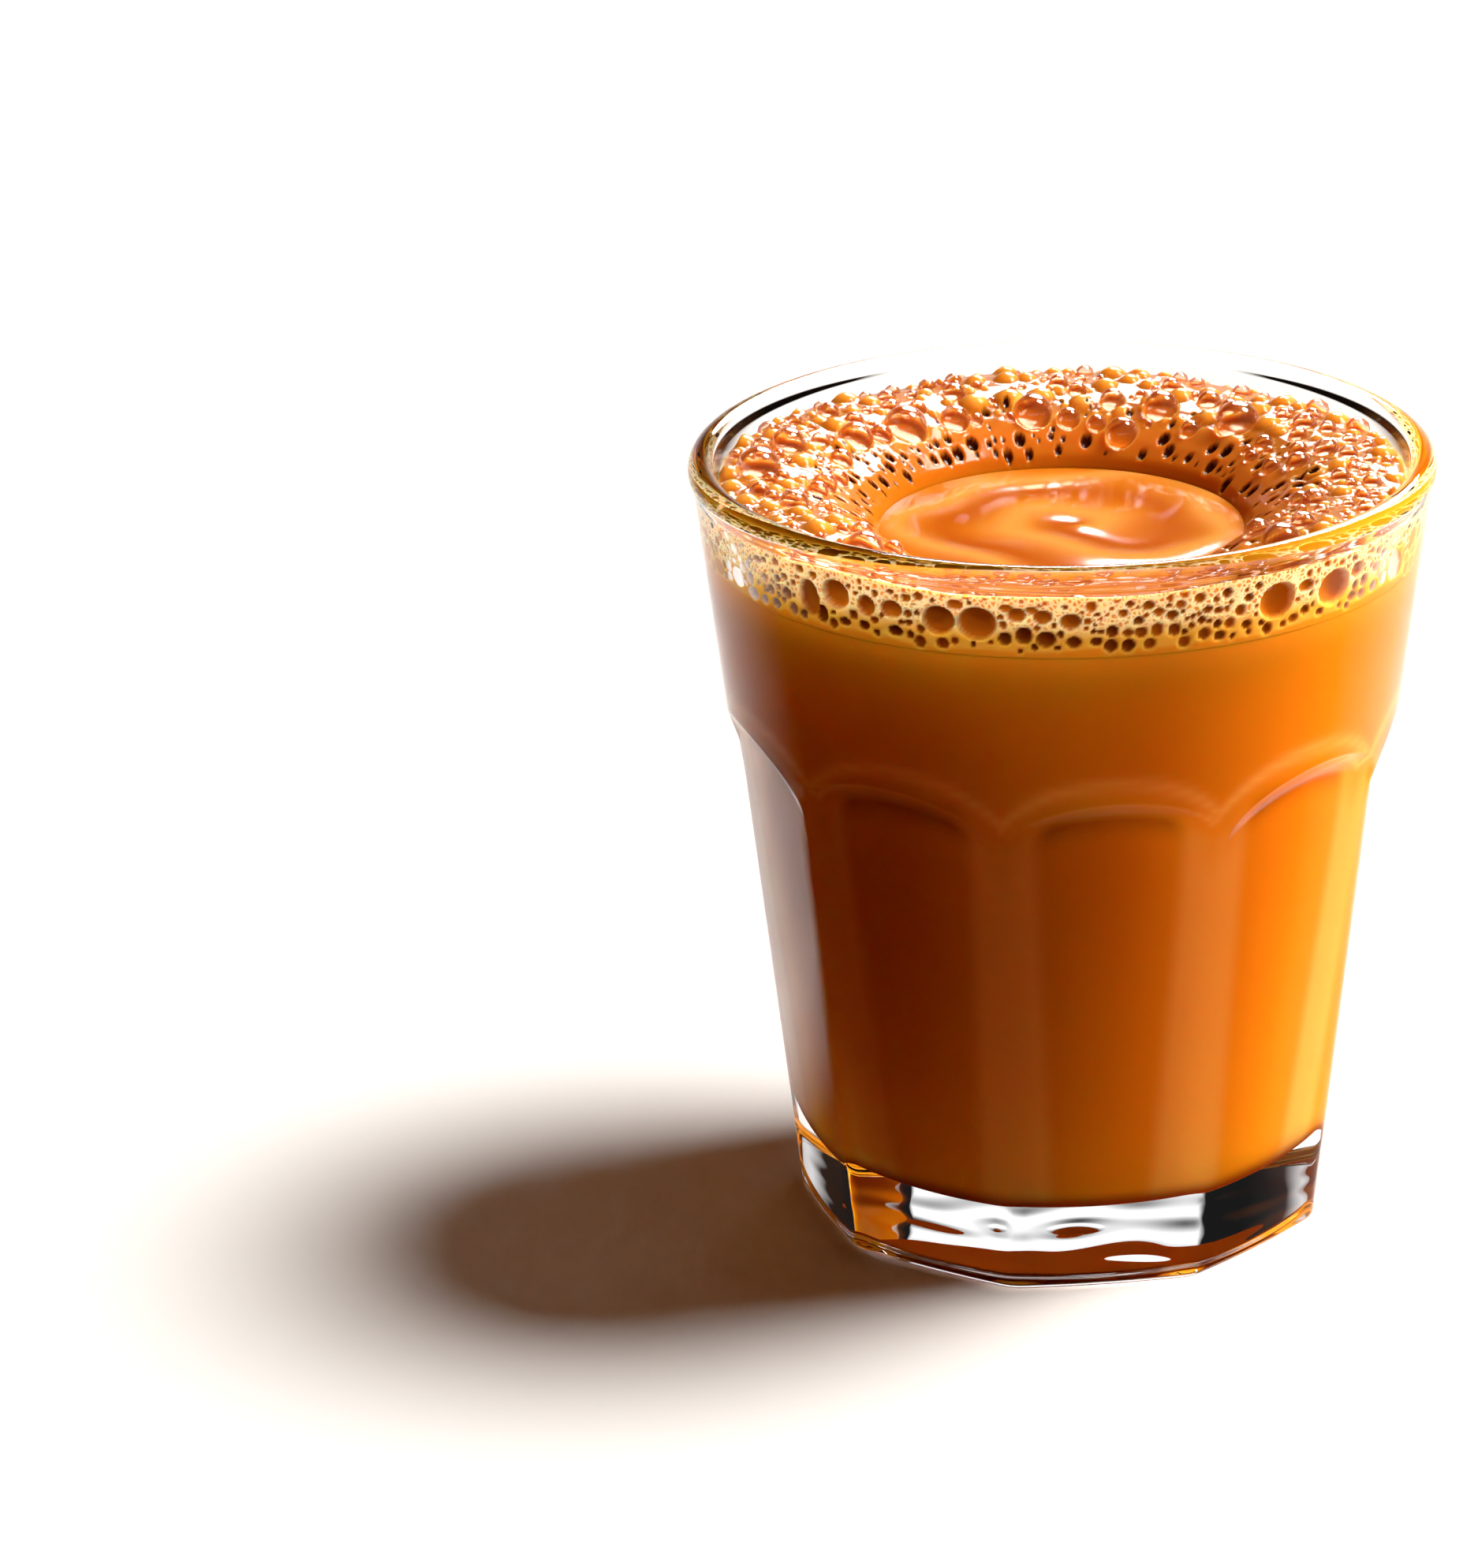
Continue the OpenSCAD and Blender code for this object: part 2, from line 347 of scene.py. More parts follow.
# %% [markdown]
# The tea wets the glass, so there is no air between them. The tea's mesh runs a few
# hundredths of a millimetre into the wall: a ray that has entered the glass then meets the
# tea while it is still in the glass, and nothing reflects where the real thing doesn't.
# Colour is worked out point by point and kept as an attribute of the mesh: the ribs gather
# light on the tea behind them, and in the open pool the milk still turns in a slow swirl.


# %% Colours
def linear(text):
    """Linear red, green, blue and alpha of an sRGB hex colour."""
    parts = np.array([int(text[i : i + 2], 16) for i in (1, 3, 5)]) / 255
    return (*np.where(parts <= 0.04045, parts / 12.92, ((parts + 0.055) / 1.055) ** 2.4).tolist(), 1.0)


def tint(text):
    """The same without the alpha, as an array that can be blended."""
    return np.array(linear(text)[:3])


def blend(a, b, share):
    """Goes from colour a to colour b by a share from 0 to 1 at each point."""
    return a + (b - a) * np.clip(share, 0, 1)[..., None]


def smooth_step(low, high, x):
    """0 below low, 1 above high, and 3t^2 - 2t^3 between."""
    t = np.clip((x - low) / (high - low), 0, 1)
    return t * t * (3 - 2 * t)


def keep_tint(piece, used, colour, fineness):
    """Keeps colour and fineness, one of each a point, as the mesh's tint and its alpha."""
    rgba = np.concatenate([colour, np.broadcast_to(fineness, colour.shape[:-1])[..., None]], -1)
    layer = piece.data.attributes.new("tint", "FLOAT_COLOR", "POINT")
    layer.data.foreach_set("color", rgba.reshape(-1, 4)[used].ravel().astype(np.float32))


# %% Tea
WETTING = 0.03
FROTH_FOOT_Z = FILL_H - 2.0
# the froth sits on a step in the tea: its foot is at the first radius, its top at the second
FROTH_HEEL_R, FROTH_BELLY_R = 34.5, 32.5
TEA_TOP_Z = FILL_H - 0.12
tea_angle = np.linspace(0, 2 * np.pi, 641)[:-1][None, :]
tea_x, tea_z = cavity_rows(WETTING, FROTH_FOOT_Z, 70)
pool_x = (POOL_R + 1.2) * np.linspace(1, 0, 50)[:, None]
still = smooth_step(POOL_R + 1.0, POOL_R - 3.0, pool_x)


def swirl(r, turned):
    """Milk turning in the pool, -1 to 1: one arm winds round a point right of the middle,
    and slow waves bend the plane first, so that no two turns are alike."""
    x, y = r * np.cos(turned), r * np.sin(turned)
    bent_x = x + 2.6 * np.sin(y / 4.6 + 1.2) + 1.1 * np.sin(x / 2.7 + y / 3.9)
    bent_y = y + 2.2 * np.sin(x / 5.4 + 0.4) + 0.9 * np.sin(y / 2.3 - x / 5)
    bent_x, bent_y = bent_x - 5, bent_y - 1
    return np.sin(np.hypot(bent_x, bent_y) / 1.9 - np.arctan2(bent_y, bent_x))


pool_z = TEA_TOP_Z + 0.09 * still * swirl(pool_x, tea_angle)
shelf_x = np.array([[FROTH_HEEL_R], [FROTH_BELLY_R]])
shelf_z = np.array([[FROTH_FOOT_Z], [TEA_TOP_Z]])
wide = 0 * tea_angle
tea_r = np.concatenate([tea_x[::-1] + wide, shelf_x + wide, pool_x + wide])
tea_h = np.concatenate([tea_z[::-1] + wide, shelf_z + wide, pool_z])
tea, tea_used = ring_mesh("milky_tea", tea_r, tea_angle, tea_h)

# %% Tea colours
# against the wall: plain, where a rib gathers light on it, and in the shade of the arch
TEA, TEA_GATHERED, TEA_SHADED = tint("#E88C12"), tint("#FFBC58"), tint("#A84E08")
# in the pool: plain, where milk comes up, and between
POOL, POOL_MILK, POOL_DEEP = tint("#D0700E"), tint("#F09C44"), tint("#BC5604")
# under the froth, which lets light down to it, and at the foot, where little light comes
GLOW = tint("#F89A22")
TEA_UNDER = tint("#7A2E06")
from_front = tea_angle + np.pi / 2
from_rib = (np.mod(from_front, 2 * HALF_TURN) - HALF_TURN) * tea_r
beside_arch = tea_h - np.polyval(arch_curve, (HALF_TURN - np.abs(from_rib / tea_r)) ** 2)
gathered = smooth_step(4.6, 2.0, np.abs(from_rib)) * smooth_step(2, -8, beside_arch)
gathered = np.maximum(0.5 * gathered, 0.6 * np.exp(-(((beside_arch - 1.6) / 0.9) ** 2)))
shaded = np.exp(-(((beside_arch + 2.6) / 1.8) ** 2)) * smooth_step(2.5, 5.5, np.abs(from_rib))
wall_tint = blend(blend(TEA, TEA_GATHERED, gathered), TEA_SHADED, 0.7 * shaded)
under_froth = smooth_step(FROTH_FOOT_Z - 5, FROTH_FOOT_Z + 0.3, tea_h) ** 1.5
wall_tint = blend(wall_tint, GLOW, under_froth)
wall_tint = blend(wall_tint, TEA_UNDER, smooth_step(BASE_T + 3, BASE_T + 0.5, tea_h))
milk = 0.5 + 0.5 * swirl(tea_r, tea_angle)
pool_tint = blend(POOL, POOL_MILK, 0.8 * milk**3)
pool_tint = blend(pool_tint, POOL_DEEP, (1 - milk) ** 2 * smooth_step(20, 12, tea_r))
in_pool = (tea_r < POOL_R + 1.5) & (tea_h > TEA_TOP_Z - 1)
# bubbles in the tea beside the froth stop light sooner
depth = 1 - 0.97 * smooth_step(FROTH_FOOT_Z - 5, FROTH_FOOT_Z - 0.5, tea_h)
depth = np.where(in_pool, 1 - 0.97 * smooth_step(POOL_R - 8, POOL_R - 1, tea_r), depth)
keep_tint(tea, tea_used, np.where(in_pool[..., None], pool_tint, wall_tint), depth)
middles = np.array([p.center[:] for p in tea.data.polygons]) / MM
on_top = (middles[:, 2] > TEA_TOP_Z - 1) & (np.hypot(middles[:, 0], middles[:, 1]) < POOL_R + 1)
tea.data.polygons.foreach_set("material_index", on_top.astype(np.int32))
print("faces of the pool:", int(on_top.sum()))

# %% [markdown]
# The froth. Tea poured from a height carries air down with it, and the bubbles rise and gather against
# the glass. From above it is a rough collar: domes on the crest, a smooth skin with open pores where
# it slopes to the pool. Against the glass each bubble is a cell with a thin bright wall and a hollow
# darkened by painted shade. All of it is one closed ring, so that light which enters the top can
# wander through it and come out at the glass. The large domes and cells are real shape, and the finest
# foam is left to the material.

# %% Where the bubbles are
# how far round from the front panel the photograph was taken
VIEW_TURN = np.radians(-9.07)
# share of the froth's width from the pool to the glass, and share of its height there
FROTH_SHARES = np.array([[0, 0], [0.05, 0.2], [0.16, 0.46], [0.3, 0.7], [0.46, 0.88], [0.66, 0.98],
                         [0.84, 1], [0.95, 0.96], [1, 0.9]])
FROTH_W = cavity_radius(FILL_H + FROTH_H) - POOL_R
BUBBLE_R = 2.6
# angle from the front, place across the froth, and size of each large bubble
BUBBLES = np.array([
    [-148, 0.38, 1.00], [-162, 0.36, 0.68], [-182, 0.34, 0.88], [-201, 0.46, 0.58], [-213, 0.44, 0.80],
    [-206, 0.20, 0.72], [-234, 0.45, 1.00], [-117, 0.67, 0.80], [-124, 0.54, 0.46], [-132, 0.42, 0.80],
    [-102, 0.75, 1.00], [-100, 0.34, 0.58], [96, 0.58, 0.58], [119, 0.66, 0.40], [112, 0.36, 0.44],
    [99, 0.76, 0.34], [86, 0.78, 0.28], [-80, 0.60, 0.70], [-56, 0.50, 0.84], [-30, 0.66, 0.54],
    [-6, 0.52, 0.76], [20, 0.44, 0.62], [40, 0.62, 0.88], [64, 0.48, 0.58],
])


def thinned(turned):
    """1 where the froth has drawn back to a thin band on the glass, in front, else 0."""
    return smooth_step(0.55, 0.88, np.cos(turned + np.pi / 2 - VIEW_TURN))


def froth_base(share, turned):
    """Height of the froth without its bubbles, at a share of its width and an angle: straight
    lines between the shares, with a slow wave round the glass that dies out at the pool. Its
    inner edge dips just under the tea."""
    wave = 0.22 * np.sin(5 * turned + 1) + 0.14 * np.sin(11 * turned + 2.2)
    height = np.interp(share, FROTH_SHARES[:, 0], FROTH_SHARES[:, 1])
    height = height + (np.minimum(height, 0.9 * share**5) - height) * 0.85 * thinned(turned)
    return FILL_H + FROTH_H * height + wave * share - 0.25 * smooth_step(0.06, 0.0, share)


DISC_TRIES = 10


def scatter(rng, sizes, inner, outer, taken, apart):
    """Throws discs between two radii, the largest first, and keeps each that lies clear of
    the others by a share of their sizes. Rows are x, y and size."""
    kept = np.array(taken, float).reshape(-1, 3)
    first = len(kept)
    for size in np.sort(sizes)[::-1]:
        for _ in range(DISC_TRIES):
            r = np.sqrt(rng.uniform(inner**2, outer**2))
            a = rng.uniform(0, 2 * np.pi)
            x, y = r * np.cos(a), r * np.sin(a)
            if (np.hypot(kept[:, 0] - x, kept[:, 1] - y) > apart * (kept[:, 2] + size)).all():
                kept = np.vstack([kept, [x, y, size]])
                break
    return kept[first:]


rng = np.random.default_rng(11)
bubble_a = np.radians(BUBBLES[:, 0] - 90)
bubble_x = POOL_R + FROTH_W * BUBBLES[:, 1]
large = [bubble_x * np.cos(bubble_a), bubble_x * np.sin(bubble_a), BUBBLE_R * BUBBLES[:, 2]]
large = np.stack(large, -1)
CREST_IN = POOL_R + 0.3 * FROTH_W
CREST_OUT = POOL_R + 0.97 * FROTH_W
small = scatter(rng, 0.5 + 1.1 * rng.random(190) ** 1.4, CREST_IN - 1, CREST_OUT - 0.6, large, 0.9)
bubbles = np.vstack([large, small])
domes = scatter(rng, 0.5 + 1.5 * rng.random(420) ** 2, CREST_IN - 2.5, CREST_OUT + 0.8, bubbles, 0.8)
pore_sizes = 0.22 + 0.62 * rng.random(230) ** 1.6
pores = scatter(rng, pore_sizes, POOL_R + 1.0, POOL_R + 0.46 * FROTH_W, bubbles, 1.15)
print(len(large), "large bubbles,", len(small), "small,", len(domes), "domes,", len(pores), "pores")

# %% Froth seen from above
COLUMNS = 1000
froth_angle = np.linspace(0, 2 * np.pi, COLUMNS + 1)[:-1][None, :]
share = np.linspace(1, 0, 60)[1:, None]
top_x = POOL_R + FROTH_W * share + 0 * froth_angle


def nearest(x, y, discs, stretch=1.0):
    """At each point, the least distance to a disc's middle in units of that disc's size, and
    the disc's number. Stretch draws every disc out along the radius through it."""
    best = np.full(x.shape, 9.0)
    which = np.zeros(x.shape, int)
    along = discs[:, :2] / np.hypot(discs[:, 0], discs[:, 1])[:, None]
    for row in range(len(x)):
        dx = x[row][:, None] - discs[:, 0]
        dy = y[row][:, None] - discs[:, 1]
        out = (dx * along[:, 0] + dy * along[:, 1]) / stretch
        side = dy * along[:, 0] - dx * along[:, 1]
        d = np.hypot(out, side) / discs[:, 2]
        which[row] = d.argmin(1)
        best[row] = d.min(1)
    return best, which


x, y = top_x * np.cos(froth_angle), top_x * np.sin(froth_angle)
to_dome, dome = nearest(x, y, domes)
to_pore, pore = nearest(x, y, pores, 1.2)
to_bubble, bubble = nearest(x, y, bubbles)
dome_r, pore_r, bubble_r = domes[dome, 2], pores[pore, 2], bubbles[bubble, 2]
crest = smooth_step(0.2, 0.4, share) * smooth_step(1.0, 0.96, share) * (1 - 0.8 * thinned(froth_angle))
dome_rise = dome_r * np.maximum(1 - to_dome**2, 0) * crest
bowl = np.sqrt(np.maximum(1 - to_bubble**2, 0))
hole = smooth_step(1.0, 0.45, to_pore) * (1 - thinned(froth_angle))
top_z = froth_base(share, froth_angle) + 0.55 * dome_rise - 0.4 * bubble_r * bowl - 0.9 * pore_r * hole
print("froth from", round(float(top_z.min()), 2), "to", round(float(top_z.max()), 2), "mm high")

# %% Colours from above
# the smooth slope, the crest's domes, and painted shade in the creases between them
SKIN, CREST, CREASE_SHADE = tint("#DC7820"), tint("#EE9A2C"), tint("#A84E08")
# painted shade inside a pore, a painted highlight on top of a dome that also draws the pale border at
# a bubble's foot, and painted shade under a large bubble
PORE_SHADE, PALE_HIGHLIGHT_AND_BORDER, BOWL_SHADE = tint("#4A1404"), tint("#FFC258"), tint("#D0701A")
# how much painted highlight each dome gets, drawn at random
dome_highlight = rng.random(len(domes))[dome]
foam = blend(blend(POOL, SKIN, smooth_step(0.0, 0.15, share)), CREST, smooth_step(0.15, 0.5, share))
foam = blend(foam + 0 * x[..., None], POOL, thinned(froth_angle) * smooth_step(0.9, 0.6, share))
in_dome = np.clip(1 - to_dome, 0, 1)
# painted shade in the creases between the domes
colour = blend(foam, CREASE_SHADE, crest * (1 - smooth_step(0.0, 0.35, in_dome)) * 0.6)
# painted highlight on the tops of the domes
colour = blend(colour, PALE_HIGHLIGHT_AND_BORDER, crest * smooth_step(0.2, 0.8, in_dome) * 0.8 * dome_highlight)
# painted shade in the froth under each large bubble
colour = blend(colour, BOWL_SHADE, smooth_step(1.0, 0.85, to_bubble))
colour = blend(colour, PALE_HIGHLIGHT_AND_BORDER, np.exp(-(((to_bubble - 1.0) / 0.08) ** 2)) * 0.8)
# painted shade inside the pores
top_tint = blend(colour, PORE_SHADE, smooth_step(0.0, 0.4, hole) * smooth_step(0.9, 1.1, to_bubble))
top_fine = 0.0 * x

# %% [markdown]
# Against the glass. The cells that show in front are listed one by one, so that the band has the
# rhythm of the real one: large cells low down, finer ones over them. The rest of the ring is scattered
# by a seeded draw with the same sizes.

# %% Cells against the glass
# degrees from the middle of the view, height over the pool, half width, half height, and share of
# painted shade in the hollow
FRONT_CELLS = np.array([
    [-71.8, -0.15, 1.4, 0.85, 0.7], [-63.6, 0.4, 1.3, 1.1, 0.6], [-59, -0.6, 1.0, 0.75, 0.7],
    [-55.7, -0.7, 0.6, 0.57, 0.8], [-52.4, -0.55, 0.72, 0.57, 0.85], [-45.7, -0.65, 0.5, 0.6, 0.8],
    [-44, 1.65, 1.35, 2.2, 0.35], [-41.6, 0.1, 0.85, 1.05, 0.9], [-38.2, 2.9, 1.7, 1.8, 0.3],
    [-36.9, -0.2, 0.75, 0.5, 0.85], [-33.1, -0.1, 0.7, 0.55, 0.9], [-32.4, 2.3, 1.05, 1.25, 0.3],
    [-30.8, -0.7, 0.42, 0.4, 0.8], [-27.8, 2.4, 1.3, 1.05, 0.25], [-27.4, -0.1, 0.9, 0.62, 0.95],
    [-24.8, -0.3, 0.45, 0.5, 0.8], [-24.9, 1.15, 0.5, 0.35, 0.7], [-19.8, 1.9, 1.8, 1.7, 0.5],
    [-16.9, 3.95, 0.95, 0.68, 0.4], [-13.5, 1.9, 2.15, 1.95, 0.45], [-9, 0.25, 0.77, 0.8, 0.85],
    [-8.7, 3.95, 0.85, 0.47, 0.35], [-7.1, 3.15, 1.03, 0.9, 0.45], [-6.6, -1.1, 0.3, 0.32, 0.8],
    [-6, 0.7, 0.94, 1.05, 0.9], [-4.7, 3.8, 0.7, 0.47, 0.35], [-3, 2.95, 1.07, 0.86, 0.4],
    [-2.5, 0.3, 1.07, 0.97, 0.8], [1.4, 2.4, 1.15, 0.97, 0.45], [1.9, -0.05, 0.8, 0.7, 0.85],
    [5.5, 0, 0.7, 0.52, 0.85], [30.6, 0.15, 0.6, 0.52, 0.8], [36.2, 2.2, 2.2, 2.2, 0.15],
    [39.8, -0.4, 0.7, 0.52, 0.6], [41.9, 3.1, 1.07, 0.8, 0.4], [42.2, 0.2, 0.7, 0.57, 0.8],
    [48.4, 1.9, 2.3, 2.1, 0.15], [53.4, -0.1, 0.8, 0.57, 0.7], [54, 2.9, 1.05, 1.0, 0.3],
    [56.2, 1.2, 0.7, 0.75, 0.5],
])
GLASS_R = cavity_radius(FILL_H + 2)
CELL_TRIES = 8


def scatter_cells(rng, sizes, heights, spread, cells, apart):
    """Throws cells round the ring, the largest first, and keeps each that lies clear of the others. A
    row holds angle, height, half width, half height and the share of painted shade in the cell's
    hollow."""
    order = np.argsort(sizes)[::-1]
    for size, height in zip(sizes[order], heights[order]):
        for _ in range(CELL_TRIES):
            a = rng.uniform(*spread)
            across = np.angle(np.exp(1j * (cells[:, 0] - a))) * GLASS_R
            reach = cells[:, 2:4].mean(1) + size
            if (np.hypot(across, cells[:, 1] - height) > apart * reach).all():
                tall = size * rng.uniform(0.8, 1.2)
                cells = np.vstack([cells, [a, height, size, tall, rng.uniform(0.2, 0.95)]])
                break
    return cells


cells = FRONT_CELLS.copy()
cells[:, 0] = np.radians(cells[:, 0] - 90) + VIEW_TURN
cells[:, 1] += FILL_H
out_of_sight = (cells[-1, 0] + 0.1, cells[0, 0] - 0.1 + 2 * np.pi)
all_round = (0, 2 * np.pi)
big = 0.6 + 1.5 * rng.random(60) ** 1.8
big_z = FILL_H + rng.uniform(-0.3, 2.6, 60)
cells = scatter_cells(rng, big, big_z, out_of_sight, cells, 1.02)
low = 0.3 + 0.45 * rng.random(240)
low_z = FILL_H + rng.uniform(-1.0, 1.2, 240)
cells = scatter_cells(rng, low, low_z, all_round, cells, 1.05)
fine = 0.25 + 0.45 * rng.random(500) ** 1.5
fine_z = FILL_H + rng.uniform(1.0, 5.2, 500)
cells = scatter_cells(rng, fine, fine_z, all_round, cells, 1.05)
print(len(cells), "cells against the glass")

# %% Froth against the glass
CELL_ROWS = 33
CELLS_FROM_Z = FROTH_FOOT_Z + 0.02
rise = np.linspace(0, 1, CELL_ROWS)[:, None]
crest_z = froth_base(np.array(1.0), froth_angle)
wall_z = CELLS_FROM_Z + (crest_z - CELLS_FROM_Z) * rise
to_cell = np.full(wall_z.shape, 9.0)
cell = np.zeros(wall_z.shape, int)
across = np.angle(np.exp(1j * (froth_angle[0][:, None] - cells[:, 0]))) * GLASS_R
for row in range(len(wall_z)):
    d = np.hypot(across / cells[:, 2], (wall_z[row][:, None] - cells[:, 1]) / cells[:, 3])
    to_cell[row] = d.min(1)
    cell[row] = d.argmin(1)
cell_r = np.minimum(cells[cell, 2], cells[cell, 3])
dent = 0.6 * cell_r * np.sqrt(np.maximum(1 - to_cell**2, 0)) * smooth_step(0.0, 0.25, crest_z - wall_z)
wall_x = cavity_radius(wall_z) + 2 * WETTING - dent
print("cells up to", round(float(dent.max()), 2), "mm deep")

# %% Colours against the glass
# the walls between cells, low down and high up, and the painted shade inside a cell, pale and deep
FOAM_LOW, FOAM_HIGH = tint("#FFB844"), tint("#FFE2A8")
CELL_SHADE_PALE, CELL_SHADE_DEEP = tint("#E8821A"), tint("#6A1E02")
edge_z = FILL_H - 1.15 + 0.2 * np.sin(7 * froth_angle) + 0.14 * np.sin(19 * froth_angle + 1)
foam_share = smooth_step(-0.25, 0.25, wall_z - edge_z)
beyond = (to_cell - 1) * cell_r
rim = np.exp(-((np.maximum(beyond, 0) / 0.3) ** 2))
foam_share = np.maximum(foam_share, rim)
foam = blend(FOAM_LOW, FOAM_HIGH, smooth_step(0.0, 2.6, wall_z - FILL_H))
colour = blend(GLOW + 0 * foam, foam, foam_share)
# painted shade inside each cell: from pale to deep by the cell's share of shade, and deeper towards
# the cell's top
down = 0.5 - 0.5 * (wall_z - cells[cell, 1]) / cells[cell, 3]
inside = blend(CELL_SHADE_PALE, CELL_SHADE_DEEP, cells[cell, 4] * (1.1 - 0.6 * down))
wall_tint = blend(colour, inside, smooth_step(1.0, 0.88, to_cell))
wall_fine = foam_share * smooth_step(0.0, 0.25, beyond) * smooth_step(0.5, 2.5, wall_z - FILL_H)

# %% Froth ring
under_x = np.array([[POOL_R], [FROTH_BELLY_R], [FROTH_HEEL_R]]) + 0 * froth_angle
under_z = np.array([[TEA_TOP_Z - 0.6], [TEA_TOP_Z - 0.1], [CELLS_FROM_Z]]) + 0 * froth_angle
froth_r = np.concatenate([wall_x, top_x, under_x])
froth_h = np.concatenate([wall_z, top_z, under_z])
froth, froth_used = ring_mesh("froth_ring", froth_r, froth_angle, froth_h, closed=True)
under_tint = np.broadcast_to(FOAM_LOW, under_x.shape + (3,))
fineness = np.concatenate([wall_fine, top_fine, 0 * under_x])
keep_tint(froth, froth_used, np.concatenate([wall_tint, top_tint, under_tint]), fineness)
face_row = np.arange(len(froth.data.polygons)) // COLUMNS
froth.data.polygons.foreach_set("material_index", (face_row < len(wall_z) - 1).astype(np.int32))

# %% [markdown]
# The large bubbles stand on the crest as whole films: a film is far too thin to bend light,
# so it only mirrors, most at its edge. Each is a sphere, half sunk in its bowl in the froth.


# %% Bubble films
def spheres(name, middles, radii, columns, rows):
    """All the spheres in one mesh. Each is rings of latitude between two poles: a point is
    the middle plus the radius times (sin t cos a, sin t sin a, cos t)."""
    a = np.linspace(0, 2 * np.pi, columns + 1)[:-1]
    t = np.linspace(np.pi, 0, rows + 1)[1:-1]
    ring = np.stack([np.outer(np.sin(t), np.cos(a)), np.outer(np.sin(t), np.sin(a)),
                     np.outer(np.cos(t), np.ones(columns))], -1).reshape(-1, 3)
    unit = np.vstack([ring, [[0, 0, -1], [0, 0, 1]]])
    here = np.arange(len(ring)).reshape(rows - 1, columns)
    beside = np.roll(here, -1, 1)
    quads = np.stack([here[:-1], beside[:-1], beside[1:], here[1:]], -1).reshape(-1, 4)
    low = np.stack([np.full(columns, len(ring)), beside[0], here[0]], -1)
    high = np.stack([here[-1], beside[-1], np.full(columns, len(ring) + 1)], -1)
    points = (middles[:, None] + radii[:, None, None] * unit).reshape(-1, 3) * MM
    shift = (np.arange(len(radii)) * len(unit))[:, None, None]
    faces = (quads + shift).reshape(-1, 4).tolist()
    faces += (np.vstack([low, high]) + shift).reshape(-1, 3).tolist()
    mesh = bpy.data.meshes.new(name)
    mesh.from_pydata(points.tolist(), [], faces)
    mesh.shade_smooth()
    piece = bpy.data.objects.new(name, mesh)
    bpy.context.scene.collection.objects.link(piece)
    print(name, len(radii), "spheres", len(faces), "faces")
    return piece


def on_froth(discs, sink):
    """Middles of bubbles that stand on the froth, each sunk by a share of its radius."""
    r = np.hypot(discs[:, 0], discs[:, 1])
    z = froth_base((r - POOL_R) / FROTH_W, np.arctan2(discs[:, 1], discs[:, 0]))
    return np.stack([discs[:, 0], discs[:, 1], z - sink * discs[:, 2]], -1)


large_films = spheres("large_bubbles", on_froth(large, 0.0), large[:, 2], 40, 20)
small_films = spheres("small_bubbles", on_froth(small, 0.1), small[:, 2], 12, 6)

# %% [markdown]
# Materials. Each starts from what the stuff is and how it was made: its name, the index by
# which it bends light, and how far light goes into it. One function adds a node, and a
# material is then read from top to bottom as a list of what happens to the light.


# %% Nodes
def node(tree, kind, inputs=None, **settings):
    """Adds a node with its settings. Inputs maps a socket to a value, to the output of
    another node, or to a node, which then gives its first output."""
    new = tree.nodes.new(kind)
    for name, value in settings.items():
        setattr(new, name, value)
    for socket, value in (inputs or {}).items():
        if isinstance(value, bpy.types.Node):
            value = value.outputs[0]
        if isinstance(value, bpy.types.NodeSocket):
            tree.links.new(value, new.inputs[socket])
        else:
            new.inputs[socket].default_value = value
    return new


def empty_material(name):
    """A new material and its node tree, with nothing in it yet."""
    made = bpy.data.materials.new(name)
    made.use_nodes = True
    made.node_tree.nodes.clear()
    return made, made.node_tree


def finish_material(tree, shader):
    """Hands a shader to the material's output."""
    node(tree, "ShaderNodeOutputMaterial", {"Surface": shader})


# %% [markdown]
# Soda-lime glass is clear all through, and fire-polishing leaves its skin without any grain,
# so the eye gets only what it bends and mirrors. A shadow ray goes straight through it with
# a trace of colour: the pattern that bent light throws on a floor would take far more samples
# than the object itself.

# %% Clear glass
GLASS_INDEX = 1.52
FILTER_SHARE = 0.08


def clear_glass():
    """Pressed soda-lime glass, fire-polished. It mirrors by Fresnel's law, less the share that
    a polarising filter takes off at a square look, and bends the rest by its index."""
    made, tree = empty_material("pressed_clear_glass")
    fresnel = node(tree, "ShaderNodeFresnel", {"IOR": GLASS_INDEX})
    mirrored = node(tree, "ShaderNodeMapRange", {0: fresnel, 1: FILTER_SHARE, 2: 1.0})
    bend = node(tree, "ShaderNodeBsdfRefraction", {
        "Color": linear("#FFFFFF"), "IOR": GLASS_INDEX, "Roughness": 0.0,
    })
    mirror = node(tree, "ShaderNodeBsdfGlossy", {"Color": linear("#FFFFFF"), "Roughness": 0.0})
    body = node(tree, "ShaderNodeMixShader", {0: mirrored, 1: bend, 2: mirror})
    clear = node(tree, "ShaderNodeBsdfTransparent", {"Color": linear("#FDFBFA")})
    path = node(tree, "ShaderNodeLightPath")
    mixed = node(tree, "ShaderNodeMixShader", {0: path.outputs["Is Shadow Ray"], 1: body, 2: clear})
    finish_material(tree, mixed)
    return made


# %% [markdown]
# Milky tea is strong tea full of tiny drops of fat. They scatter light again and again, and
# red goes deepest, so the tea looks soft and its shaded edges turn orange. The mesh's tint
# gives its colour and the tint's alpha how deep light may go there, because air bubbles near
# the froth stop it sooner.

# %% Milky tea
TEA_DEPTH = 20


